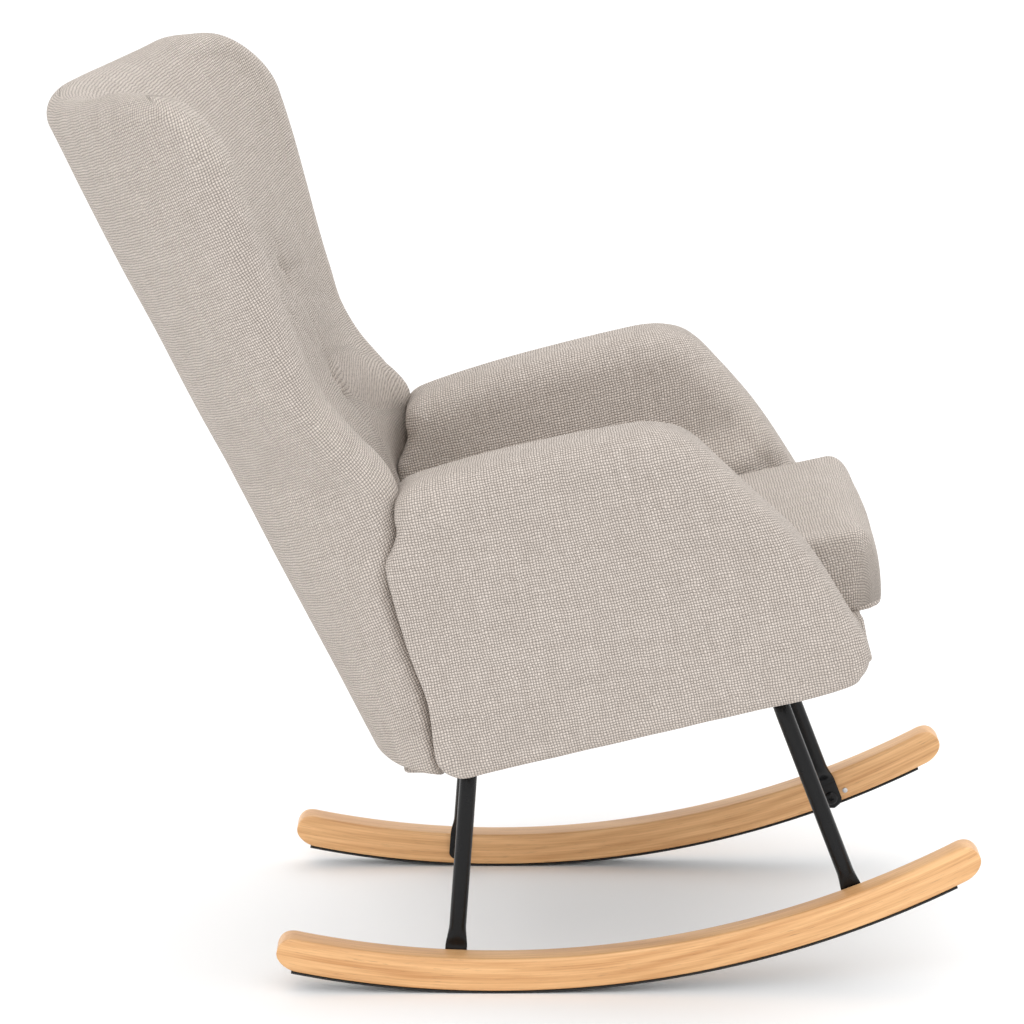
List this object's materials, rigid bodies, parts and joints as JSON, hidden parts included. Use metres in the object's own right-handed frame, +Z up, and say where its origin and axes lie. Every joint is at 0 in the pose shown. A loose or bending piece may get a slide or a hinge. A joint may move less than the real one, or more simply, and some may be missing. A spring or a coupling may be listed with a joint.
{
  "type": "rocking chair",
  "caption": "Wing back rocking chair with tufted fabric upholstery on bent black tube legs and curved wooden rockers.",
  "frame": {"origin": "on the floor, under the middle of the chair's bounding box", "axes": "+Z up; -Y is the way the sitter faces; +X is the sitter's left, and the chair is symmetric about X = 0"},
  "size_m": [0.7018, 1.0404, 1.0251],
  "materials": {
    "upholstery": "greige linen-look basket weave, matt, over foam",
    "rubberwood": "light rubberwood with fine straight grain, satin clear lacquer, eased edges",
    "frame_wood": "plain sawn inner frame timber and board, unfinished",
    "black_tube": "semi-gloss black powder coat over steel tube",
    "black_bolt": "black finished steel, slightly worn at the recess",
    "zinc": "bright zinc plate",
    "spring_wire": "oiled spring steel wire",
    "antislip": "matt black anti-slip strip",
    "lining": "black spunbonded lining and felt",
    "label": "blank white woven label"
  },
  "bodies": {
    "root": {"antislip_strip_left": "antislip", "antislip_strip_right": "antislip", "arm_board_left": "frame_wood", "arm_board_right": "frame_wood", "arm_bolt_front_left": "black_bolt", "arm_bolt_front_right": "black_bolt", "arm_bolt_rear_left": "black_bolt", "arm_bolt_rear_right": "black_bolt", "arm_left": "upholstery", "arm_right": "upholstery", "back_bolt_left": "black_bolt", "back_bolt_right": "black_bolt", "back_lower_rail": "frame_wood", "back_outer_panel": "upholstery", "back_post_left": "frame_wood", "back_post_right": "frame_wood", "back_top_rail": "frame_wood", "back_tufted_pad": "upholstery", "care_label": "label", "dust_cover": "lining", "foot_bolt_front_left": "black_bolt", "foot_bolt_front_right": "black_bolt", "foot_bolt_rear_left": "black_bolt", "foot_bolt_rear_right": "black_bolt", "front_apron": "upholstery", "leg_batten": "frame_wood", "leg_frame_front": "black_tube", "leg_frame_rear": "black_tube", "lock_screw_left": "zinc", "lock_screw_right": "zinc", "rear_skirt": "upholstery", "rocker_left": "rubberwood", "rocker_right": "rubberwood", "seat_bolt_front_left": "black_bolt", "seat_bolt_front_right": "black_bolt", "seat_bolt_rear_left": "black_bolt", "seat_bolt_rear_right": "black_bolt", "seat_cushion": "upholstery", "seat_rail_front": "frame_wood", "seat_rail_left": "frame_wood", "seat_rail_rear": "frame_wood", "seat_rail_right": "frame_wood", "seat_spring_1": "spring_wire", "seat_spring_2": "spring_wire", "seat_spring_3": "spring_wire", "seat_spring_4": "spring_wire", "spring_cover_felt": "lining", "threaded_insert_front_left": "zinc", "threaded_insert_front_right": "zinc", "threaded_insert_rear_left": "zinc", "threaded_insert_rear_right": "zinc", "tuft_button_1": "upholstery", "tuft_button_2": "upholstery", "tuft_button_3": "upholstery", "tuft_button_4": "upholstery", "tuft_button_5": "upholstery"}
  },
  "joints": []
}
